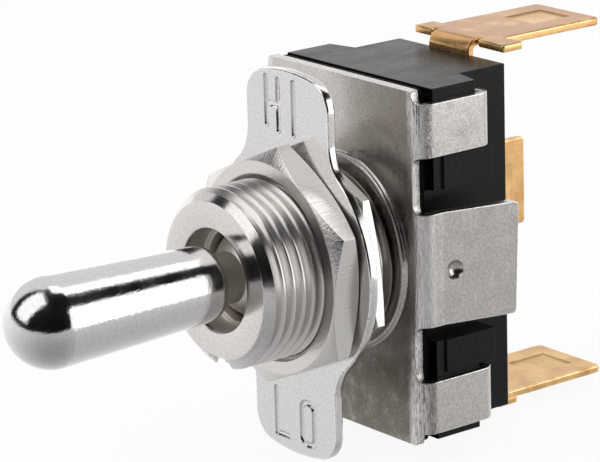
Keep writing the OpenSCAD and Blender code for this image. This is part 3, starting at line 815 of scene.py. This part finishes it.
print("Bushing")
bushingShape = {
    "mouth": -10.6,
    "threadRadius": 5.953,
    "rootRadius": 5.46,
    "pitch": 25.4 / 32,
    "crestRound": 0.05,
    # one pitch of the thread: root, flank or crest, and where in the pitch
    "section": [("root", 0.06), ("root", 0.14), ("flank", 0.42), ("crest", 0.47), ("crest", 0.59),
                ("flank", 0.64), ("root", 0.92), ("root", 1.06)],
    "threadEnd": -0.35,
    "faceRadius": 5.3,
    "faceRound": 0.08,
    "chamfer": 0.65,
    "mouthRadius": 3.46,
    "mouthRound": 0.1,
    "mouthDepth": 1.8,
    "lipRadius": 3.12,
    "lipRound": 0.12,
    "lipLength": 0.8,
    "rearRadius": 3.95,
    "rearStart": -4.9,
    "flangeRadius": 5.75,
    "spigotRadius": 5.2,
    "spigotFront": -0.65,
    "flangeFront": 0.4,
    "flangeBack": 0.85,
    "keywayWidth": 1.8,
    "keywayDepth": 0.85,
    "keywayEnd": -0.75,
    "slotHalf": 1.0,       # of the slots that hold the lever's pin
    "slotReach": 4.7,
    "pivot": -6.5,
    "steps": 144,
    "boreSteps": 96,
}


def threadRod():
    # one pitch of the thread's section, swept along the helix, then cut square at both ends
    s = bushingShape
    pitch, crest = s["pitch"], s["threadRadius"]
    radius = {"root": s["rootRadius"], "flank": crest - s["crestRound"], "crest": crest}
    start = s["mouth"] - 2 * pitch
    turns = int((s["threadEnd"] - start) / pitch) + 2
    bm = bmesh.new()
    section = addProfile(bm, [(radius[part], start + share * pitch) for part, share in s["section"]])
    bmesh.ops.spin(bm, geom=section, cent=(0, 0, 0), axis=(0, 1, 0), angle=2 * pi * turns,
                   dvec=(0, pitch / s["steps"] * mm, 0), steps=s["steps"] * turns)
    weld(bm, "carved")
    # a little past both ends of the finished thread
    for place, side in ((s["mouth"] - 0.3 * pitch, -1), (s["threadEnd"] + 0.1, 1)):
        cut = bmesh.ops.bisect_plane(bm, geom=bm.verts[:] + bm.edges[:] + bm.faces[:],
                                     dist=oneSpot["turned"] * mm, plane_co=(0, place * mm, 0),
                                     plane_no=(0, side, 0), clear_outer=True)
        bmesh.ops.holes_fill(bm, edges=pick(cut["geom_cut"], BMEdge), sides=0)
    bmesh.ops.recalc_face_normals(bm, faces=bm.faces)
    return bm


def makeBushing():
    s = bushingShape
    mouth, back, end = s["mouth"], s["threadEnd"], s["flangeBack"] + over
    # the outside of the thread: a chamfered mouth and a square end
    rim, wide = s["faceRound"], s["threadRadius"] + s["crestRound"]
    blank = [(0, mouth)] + arc((s["faceRadius"] - rim, mouth + rim), rim, -90, -50, 3)
    blank += [(wide, mouth + s["chamfer"]), (wide, back), (0, back)]
    piece = newPiece(threadRod(), "threadedBushing")
    carve(piece, turnedMesh(blank, s["steps"]), "INTERSECT")
    key, low = s["keywayWidth"] / 2, s["keywayDepth"] - s["threadRadius"]
    carve(piece, blockMesh((-key, mouth - over, -wide - over), (key, s["keywayEnd"], low)))
    spigot, flange = s["spigotRadius"], s["flangeRadius"]
    rear = [(0, s["spigotFront"]), (spigot, s["spigotFront"]), (spigot, s["flangeFront"]),
            (flange, s["flangeFront"]), (flange, s["flangeBack"]), (0, s["flangeBack"])]
    carve(piece, turnedMesh(rear, s["boreSteps"]), "UNION")
    lipFront = mouth + s["mouthDepth"]
    lipBack = lipFront + s["lipLength"]
    hole, rim, lip, lipRim = s["mouthRadius"], s["mouthRound"], s["lipRadius"], s["lipRound"]
    bore = [(0, mouth - over), (hole + rim + over, mouth - over)]
    bore += arc((hole + rim, mouth + rim), rim, -90, -180, 4)
    bore += [(hole, lipFront - rim), (hole - rim, lipFront)]
    bore += arc((lip + lipRim, lipFront + lipRim), lipRim, -90, -180, 4)
    bore += [(lip, lipBack), (hole, lipBack), (hole, s["rearStart"]), (s["rearRadius"], s["rearStart"]),
             (s["rearRadius"], end), (0, end)]
    carve(piece, turnedMesh(bore, s["boreSteps"]))
    slot, reach = s["slotHalf"], s["slotReach"]
    carve(piece, blockMesh((-reach, s["pivot"], -slot), (reach, end, slot)))
    smoothShade(piece, 32)
    return piece


finishPiece(makeBushing(), bushingNickel, "case", "bushing")


# Nuts

nutShape = {
    "frontNut": {"flats": 14.3, "front": -6.4, "back": -4.35, "turn": 23.5, "chamfer": 26, "rim": 0.05},
    "rearNut": {"flats": 14.3, "front": -3.6, "back": -2.5, "turn": -21.0, "chamfer": 14, "rim": 0.02},
    "clearance": 0.02,       # round the thread
    "boreChamfer": 0.3,
    "deepest": 0.45,         # of a corner's chamfer, as a share of the thickness
    "steps": 144,
    "boreSteps": 96,
    "edge": {"angle": 18, "width": 0.05, "segments": 2, "clamp": True},
}


def makeNut(name):
    s = nutShape[name]
    front, back = s["front"], s["back"]
    corner = s["flats"] / 2 / cos(radians(30))
    bm = barMesh(corner, front, back, "Y", 6)
    firstCorner = min([atan2(v.co.z, v.co.x) for v in bm.verts], key=abs)
    turn = Matrix.Rotation(firstCorner - radians(s["turn"]), 3, "Y")
    bmesh.ops.rotate(bm, matrix=turn, verts=bm.verts)
    piece = newPiece(bm, name)
    # a cone on both faces takes the corners down
    flat, tip = s["flats"] / 2 - s["rim"], corner + s["rim"]
    drop = min((tip - flat) * tan(radians(s["chamfer"])), nutShape["deepest"] * (back - front))
    cone = [(0, front), (flat, front), (tip, front + drop), (tip, back - drop), (flat, back), (0, back)]
    carve(piece, turnedMesh(cone, nutShape["steps"]), "INTERSECT")
    hole, step = bushingShape["threadRadius"] + nutShape["clearance"], nutShape["boreChamfer"]
    wide = hole + step
    bore = [(0, front - over), (wide, front - over), (wide, front), (hole, front + step),
            (hole, back - step), (wide, back), (wide, back + over), (0, back + over)]
    carve(piece, turnedMesh(bore, nutShape["boreSteps"]))
    roundEdges(piece, nutShape["edge"])
    smoothShade(piece, 40)
    return piece


print("Nuts")
finishPiece(makeNut("frontNut"), nutNickel, "case", "front_nut")
finishPiece(makeNut("rearNut"), nutNickel, "case", "rear_nut")


# Legend plate with its engraved positions

legendShape = {
    "face": -4.3,
    "strokeRadius": 0.28,
    "strokeDepth": 0.14,
    # straight strokes as (x, z) to (x, z) in mm
    "strokes": [
        ((-2.1, 12.1), (-2.1, 9.0)), ((-0.85, 12.05), (-0.85, 8.7)), ((-2.1, 10.4), (-0.85, 10.4)),
        ((0.75, 12.1), (0.75, 8.7)),
        ((-2.0, -9.2), (-2.0, -12.35)), ((-2.0, -12.35), (-0.75, -12.35)),
    ],
    "ring": {"centre": (1.35, -10.95), "half": (0.65, 1.45), "corner": 0.5},
    "edge": {"angle": 40, "width": 0.13, "segments": 4, "clamp": False},
}


def strokeMesh(start, end):
    # a bar with round ends that sinks into the plate's face
    s = legendShape
    r = s["strokeRadius"]
    run = Vector((end[0] - start[0], 0, end[1] - start[1]))
    bm = turnedMesh(arc((0, 0), r, -90, 0, 6) + arc((0, run.length), r, 0, 90, 6), 20)
    turn = Vector((0, 1, 0)).rotation_difference(run.normalized()).to_matrix()
    bmesh.ops.rotate(bm, matrix=turn, verts=bm.verts)
    shift(bm, start[0], s["face"] - r + s["strokeDepth"], start[1])
    return bm


def ringMesh():
    # the round-cornered O: a round section carried once round its path
    s = legendShape
    ring = s["ring"]
    (cx, cz), (hx, hz), r = ring["centre"], ring["half"], ring["corner"]
    straightX, straightZ = hx - r, hz - r
    bm = bmesh.new()
    bmesh.ops.create_circle(bm, segments=16, radius=s["strokeRadius"] * mm)
    shift(bm, cx + hx, s["face"] - s["strokeRadius"] + s["strokeDepth"], cz - straightZ)
    rim = bm.edges[:]
    # each leg's direction in x and z, and the corner that it comes to
    for legX, legZ, cornerX, cornerZ in ((0, 1, 1, 1), (-1, 0, -1, 1), (0, -1, -1, -1), (1, 0, 1, -1)):
        made = bmesh.ops.extrude_edge_only(bm, edges=rim)["geom"]
        verts = pick(made, BMVert)
        shift(bm, legX * 2 * straightX, 0, legZ * 2 * straightZ, verts)
        corner = ((cx + cornerX * straightX) * mm, 0, (cz + cornerZ * straightZ) * mm)
        swept = bmesh.ops.spin(bm, geom=verts + pick(made, BMEdge), cent=corner, axis=(0, -1, 0),
                               angle=pi / 2, steps=8)["geom_last"]
        rim = pick(swept, BMEdge)
    weld(bm, "carved")
    bmesh.ops.recalc_face_normals(bm, faces=bm.faces)
    return bm


def makeLegendPlate():
    piece = copyOfNode("legend_plate", "legendPlate")
    roundEdges(piece, legendShape["edge"])
    for start, end in legendShape["strokes"]:
        carve(piece, strokeMesh(start, end))
    carve(piece, ringMesh())
    smoothShade(piece, 35)
    return piece


print("Legend plate")
finishPiece(makeLegendPlate(), plateNickel, "case", "legend_plate")


# Bracket: a flat blank with rounded rims, folded, then drawn and punched

bracketShape = {
    "halfWidth": 7.4,
    "halfHeight": 11.95,
    "sheet": 0.75,
    "cornerRadius": 0.25,
    "bendStart": 7.2,        # from here outwards the sheet turns back
    "bendRadius": 1.05,      # of the sheet's outer face
    "bendSteps": 10,
    "notch": 0.6,
    "cornerTab": (7.55, 11.1),
    "curlStart": 5.241,      # place along the switch where a corner tab curls inwards
    "curlLip": 0.3,
    "middleTab": 3.8,        # half height of the middle tab
    "tabTip": 0.3,
    "kink": 1.9,
    "kinkHalf": 0.15,        # half the length of the bend there
    "reach": 7.6,
    "lean": 7.0,
    "droop": 2.2,
    "rim": 0.11,
    "bossRadius": 6.7,
    "bossHeight": 0.35,
    "bossRound": 0.3,
    # how far the boss's foot is outside its radius, and where along the switch
    "bossFoot": [(0.01228, -0.11395), (0.12, 0.02), (0.12, 0.3)],
    "recessRadius": 5.9,
    "holeRadius": 5.2,
    "dentReach": 0.9,
    "dentDrop": 0.2,
    "dentRadius": 0.75,
    "dentRise": 0.36,        # of the punch's centre over the tab's face
    "bossSteps": 128,
    "holeSteps": 96,
}


def sheetLengths():
    # distances over the unfolded sheet: the end of the bend, of the corner tab, and the middle tab's
    # kink and end
    s = bracketShape
    bend = s["bendRadius"] * pi / 2
    bent = s["bendStart"] + bend
    cornerEnd = bent + s["curlStart"] - s["bendRadius"] + bend + s["curlLip"]
    kink = bent + s["kink"] - s["bendRadius"]
    middleEnd = kink + (s["reach"] - s["kink"]) / cos(radians(s["lean"]))
    return bent, cornerEnd, kink, middleEnd


def mirrored(points):
    return [(x, -z) for x, z in reversed(points)]


def blankOutline():
    s = bracketShape
    _, cornerEnd, kink, middleEnd = sheetLengths()
    edge, top, n = s["halfWidth"], s["halfHeight"], s["notch"]
    low, high = s["cornerTab"]
    c, m, tip = s["cornerRadius"], s["middleTab"], s["tabTip"]
    upper = arc((edge - c, top - c), c, 90, 0, 4) + arc((edge + n, high + n), n, 180, 270, 6)
    upper += [(cornerEnd, high), (cornerEnd, low)] + arc((edge + n, low - n), n, 90, 180, 6)
    upper += arc((edge + n, m + n), n, 180, 270, 6) + [(kink, m)]
    tab = arc((middleEnd - tip, m - tip), tip, 90, 0, 4)
    tilt = Matrix.Rotation(-radians(s["droop"]), 2)
    turned = [tilt @ Vector((x - kink, z)) for x, z in tab + mirrored(tab)]
    right = upper + [(kink + point.x, point.y) for point in turned] + mirrored(upper)
    return right + [(-x, z) for x, z in reversed(right)]


def turnBack(along, depth, radius):
    # place on a bend for a distance along it and a depth under the outer face: outwards and backwards
    turn = min(max(along / radius, 0), pi / 2)
    rest = max(along - radius * pi / 2, 0)
    return (radius - depth) * sin(turn), radius - (radius - depth) * cos(turn) + rest


def cutSheet(bm, place, low, high):
    # crosses the flat sheet with new edges at a distance to both sides, on faces whose middle is
    # between two heights
    for side in (-1, 1):
        faces = [f for f in bm.faces if low <= abs(f.calc_center_median().z / mm) <= high]
        geom = list({g for f in faces for g in (*f.verts, *f.edges)}) + faces
        bmesh.ops.bisect_plane(bm, geom=geom, dist=oneSpot["turned"] * mm,
                               plane_co=(side * place * mm, 0, 0), plane_no=(1, 0, 0))


def foldSheet(bm):
    s = bracketShape
    bent, _, kink, _ = sheetLengths()
    radius, start, half = s["bendRadius"], s["bendStart"], s["kinkHalf"]
    curl = bent + s["curlStart"] - radius
    lean = radians(s["lean"])
    split = s["cornerTab"][0] - s["notch"]
    for k in range(s["bendSteps"] + 1):
        place = (bent - start) * k / s["bendSteps"]
        cutSheet(bm, start + place, 0, s["halfHeight"])
        cutSheet(bm, curl + place, split, s["halfHeight"])
    for share in (-1, -1 / 3, 1 / 3, 1):
        cutSheet(bm, kink + share * half, 0, split)
    for v in bm.verts:
        side = 1 if v.co.x > 0 else -1
        along, depth, z = abs(v.co.x) / mm, v.co.y / mm, v.co.z / mm
        if along <= start:
            continue
        out, back = turnBack(along - start, depth, radius)
        if abs(z) > split and along > curl:
            inward, more = turnBack(along - curl, depth, radius)
            out, back = radius - more, s["curlStart"] + inward
        elif abs(z) < split and along > kink - half:
            share = min((along - kink + half) / (2 * half), 1)
            rest = max(along - kink - half, 0)
            out = radius - depth + 2 * half * share * sin(lean * share / 2) + rest * sin(lean)
            back = s["kink"] - half + 2 * half * share + rest * cos(lean) + depth * sin(lean * share)
        v.co = (side * (start + out) * mm, back * mm, v.co.z)


def makeBracket():
    s = bracketShape
    blank = plateMesh(blankOutline(), 0, s["sheet"], s["rim"])
    foldSheet(blank)
    piece = newPiece(blank, "pressedBracket")
    r, h, q = s["bossRadius"], s["bossHeight"], s["bossRound"]
    foot = [(r + out, back) for out, back in s["bossFoot"]]
    boss = [(0, -h)] + arc((r - q, q - h), q, -90, -15, 8) + foot + [(0, foot[-1][1])]
    carve(piece, turnedMesh(boss, s["bossSteps"]), "UNION")
    behind = s["sheet"] + over
    carve(piece, barMesh(s["recessRadius"], s["sheet"] - h, behind, "Y", s["holeSteps"]))
    carve(piece, barMesh(s["holeRadius"], -over, behind, "Y", s["holeSteps"]))
    lean = radians(s["lean"])
    outward, along = Vector((cos(lean), -sin(lean), 0)), Vector((sin(lean), cos(lean), 0))
    inside = s["bendStart"] + s["bendRadius"] - s["sheet"]
    dent = Vector((inside, s["kink"], -s["dentDrop"])) + along * s["dentReach"]
    dent += outward * (s["sheet"] + s["dentRise"])
    for side in (-1, 1):
        punch = bmesh.new()
        bmesh.ops.create_uvsphere(punch, u_segments=32, v_segments=20, radius=s["dentRadius"] * mm)
        shift(punch, side * dent.x, dent.y, dent.z)
        carve(piece, punch)
    smoothShade(piece, 35)
    return piece


print("Bracket")
finishPiece(makeBracket(), bracketNickel, "case", "bracket")


# Housing: moulded blocks with rounded edges, joined and hollowed

housingShape = {
    "front": 1.2,
    "rebate": (0.45, 0.5),
    "rebateRound": 0.05,
    "rebateSink": 0.2,       # into the body
    "halfWidth": 7.5,
    "rearHalfWidth": 5.37,
    "halfHeight": 11.85,
    "ledge": 5.9,
    "ledgeSlope": 0.5,
    "shoulder": 6.6,
    "shoulderHalfHeight": 7.35,
    "rear": 9.82,
    "cavityEnd": 8.3,
    "cavity": (3.6, 8.4),
    "groove": (1.5, 5.1),    # depth and half height of the grooves for the middle tabs
    "grooveEnd": 9.62,
    "pad": (2.45, 0.2),      # front and height of the locating pads
    "padEnds": (4.8, 7.32),
    "padRound": 0.04,
    "footWidth": 4.05,
    "footSeat": 9.52,
    "middleFoot": -6,        # where the middle blade's seat begins
    "contactHeight": 5.75,
    "rivetRadius": 1.0,
    "overlap": 0.05,         # of joined blocks
    "edge": {"angle": 20, "width": 0.08, "segments": 3, "clamp": False},
}


def crossBlock(outline, start, end):
    # an outline of (x, y) in mm, drawn up or down from z = start to z = end
    bm = plateMesh(outline, -max(start, end), -min(start, end))
    bmesh.ops.rotate(bm, matrix=Matrix.Rotation(-pi / 2, 3, "X"), verts=bm.verts)
    return bm


def makeHousing():
    s = housingShape
    inset, step = s["rebate"]
    front, ahead, rear, seat = s["front"] + step, s["front"] - over, s["rear"] + over, s["footSeat"]
    w, n, h, shoulder = s["halfWidth"], s["rearHalfWidth"], s["halfHeight"], s["shoulder"]
    right = [(w, front), (w, shoulder), (n, shoulder), (n, s["rear"])]
    piece = newPiece(crossBlock(right + [(-x, y) for x, y in reversed(right)], -h, h), "mouldedHousing")
    wide = w + over
    outer = s["ledge"] - s["ledgeSlope"] * (wide - n) / (w - n)
    for x in (-1, 1):
        for z in (-1, 1):
            # behind each corner tab the sides are cut down to a sloping ledge
            ledge = [(x * n, s["ledge"]), (x * wide, outer), (x * wide, shoulder + over),
                     (x * n, shoulder + over)]
            carve(piece, crossBlock(ledge, z * s["shoulderHalfHeight"], z * (h + over)))
    roundEdges(piece, s["edge"])
    sink = front + s["rebateSink"]
    rebate = blockMesh((inset - w, s["front"], inset - h), (w - inset, sink, h - inset), s["rebateRound"])
    carve(piece, rebate, "UNION")
    padFront, padHeight = s["pad"]
    padBack, (near, far) = shoulder + s["overlap"], s["padEnds"]
    depth, half = s["groove"]
    for x in (-1, 1):
        for z in (-1, 1):
            pad = blockMesh((x * (w - over), padFront, z * near), (x * (w + padHeight), padBack, z * far),
                            s["padRound"])
            carve(piece, pad, "UNION")
        carve(piece, blockMesh((x * (w - depth), ahead, -half), (x * (wide + over), s["grooveEnd"], half)))
    cavityX, cavityZ = s["cavity"]
    carve(piece, blockMesh((-cavityX, ahead, -cavityZ), (cavityX, s["cavityEnd"], cavityZ)))
    foot = s["footWidth"] / 2
    for z in (-1, 0, 1):
        hole = barMesh(s["rivetRadius"], s["cavityEnd"] - over, rear, "Y")
        shift(hole, 0, 0, z * s["contactHeight"])
        carve(piece, hole)
        if z:
            inner = z * (s["contactHeight"] - foot)
            carve(piece, blockMesh((-foot, seat, inner), (foot, rear, z * (h + over))))
    carve(piece, blockMesh((s["middleFoot"], seat, -foot), (foot, rear, foot)))
    smoothShade(piece, 35)
    return piece


print("Housing")
finishPiece(makeHousing(), housingPhenolic, "case", "housing")


# Liner and blades keep their solid's shape with softened edges

softened = {
    # edge rounding: smallest angle, width in mm, segments
    "liner": {"angle": 30, "width": 0.04, "segments": 1, "clamp": False},
    "blade": {"angle": 55, "width": 0.13, "segments": 4, "clamp": False},
    "coinDepth": 0.1,
    "coinPlay": 0.004,  # mm by which a wall's height may differ from the depth
    "coinSlope": 0.08,  # how far the floor of a coined hollow draws in, as a share of its size
}


def slopeCoin(piece):
    # leans the upright walls of the coined hollows inwards, so that they look pressed and not cut
    bm = bmesh.new()
    bm.from_mesh(piece.data)
    mergeFacets(bm)
    depth, play = softened["coinDepth"], softened["coinPlay"]
    walls = [e for e in bm.edges if abs(e.calc_length() / mm - depth) < play]
    centre = sum((v.co for e in walls for v in e.verts), Vector()) / (2 * len(walls))
    for wall in walls:
        upright = (wall.verts[0].co - wall.verts[1].co).normalized()
        bottom = min(wall.verts, key=lambda v: (v.co - centre).length)
        inward = centre - bottom.co
        bottom.co += (inward - upright * inward.dot(upright)) * softened["coinSlope"]
    bm.to_mesh(piece.data)
    bm.free()


def softenedCopy(node, name, kind):
    piece = copyOfNode(node, name)
    if kind == "blade":
        slopeCoin(piece)
    roundEdges(piece, softened[kind])
    smoothShade(piece, 40)
    return piece


print("Liner")
finishPiece(softenedCopy("liner", "fibreLiner", "liner"), linerInPaintedShade, "case", "liner")

print("Blades")
for side in ("upper", "lower", "middle"):
    blade = softenedCopy("blade_" + side, side + "Blade", "blade")
    finishPiece(blade, bladeBrass, "case", "blade_" + side)


# Pieces inside keep their solid and get their finish

print("Working parts inside")
sharpInside = 30  # degrees between faces from which an edge stays sharp
insideFinish = {
    pinSteel: ["lever_pin", "pin_retainer", "rocker_pin"],
    plungerNylon: ["plunger", "rocker"],
    barCopper: ["contact_bar"],
    contactSilver: ["moving_contact_upper", "moving_contact_lower", "fixed_contact_upper",
                    "fixed_contact_lower"],
    bladeBrass: ["fulcrum_frame"],
    rivetBrass: ["contact_rivet_upper", "contact_rivet_lower", "centre_rivet"],
}
for material, names in insideFinish.items():
    for name in names:
        inside = nodes[name]
        inside.data.materials.clear()
        inside.data.materials.append(material)
        inside.data.shade_smooth()
        inside.data.set_sharp_from_angle(angle=radians(sharpInside))

spring = copyOfNode("plunger_spring", "plungerSpring")
smoothShade(spring, 40)
finishPiece(spring, pinSteel, "lever", "plunger_spring")
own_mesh(spring)


# Floor

print("Floor")
floorShape = {"size": 3000, "roughness": 0.9}
floorMesh = bmesh.new()
bmesh.ops.create_grid(floorMesh, x_segments=1, y_segments=1, size=floorShape["size"] / 2 * mm)
bmesh.ops.translate(floorMesh, vec=(0, 0, cadBox[0][2]), verts=floorMesh.verts)
floor = newPiece(floorMesh, "studioFloor")
floorMaterial = bpy.data.materials.new("paleFloor")
floorMaterial.use_nodes = True
floorTree = floorMaterial.node_tree
floorShader = floorTree.nodes["Principled BSDF"]
floorShader.inputs["Base Color"].default_value = (*studio["floorColour"], 1)
floorShader.inputs["Roughness"].default_value = floorShape["roughness"]
plainWhite = floorTree.nodes.new("ShaderNodeEmission")
floorMix = floorTree.nodes.new("ShaderNodeMixShader")
cameraRay = floorTree.nodes.new("ShaderNodeLightPath").outputs["Is Camera Ray"]
share = times(floorTree, cameraRay, studio["floorForCamera"])
floorTree.links.new(share, floorMix.inputs["Fac"])
floorTree.links.new(floorShader.outputs["BSDF"], floorMix.inputs[1])
floorTree.links.new(plainWhite.outputs["Emission"], floorMix.inputs[2])
floorTree.links.new(floorMix.outputs["Shader"], floorTree.nodes["Material Output"].inputs["Surface"])
floor.data.materials.append(floorMaterial)
floor.visible_glossy = False
